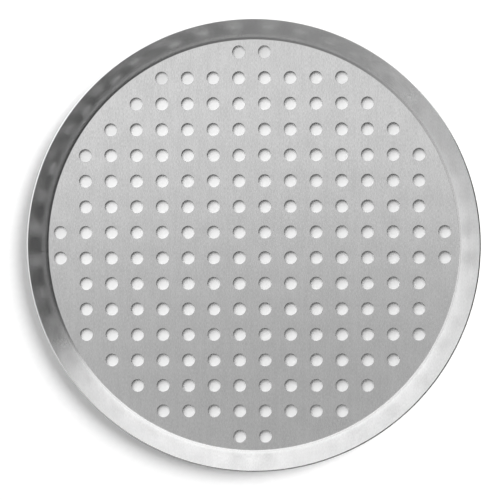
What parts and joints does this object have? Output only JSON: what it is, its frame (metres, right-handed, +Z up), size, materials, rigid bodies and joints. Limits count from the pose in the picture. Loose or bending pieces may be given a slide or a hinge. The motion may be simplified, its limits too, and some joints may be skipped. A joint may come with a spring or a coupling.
{
  "type": "pizza pan",
  "caption": "Round shallow pizza pan of aluminium sheet: flat floor with a square grid of vent holes, a tight bend and a flared wall ending in a plain trimmed rim.",
  "frame": {"origin": "centre of the underside, on the plane that the pan stands on", "axes": "+Z up, out of the open side; +X and +Y along the two directions of the rows of holes"},
  "size_m": [0.3302, 0.3302, 0.018],
  "materials": {
    "aluminium_sheet": "bare satin aluminium, with a fine straight grain that runs on from the floor up the wall"
  },
  "bodies": {
    "root": {"pan": "aluminium_sheet"}
  },
  "joints": []
}
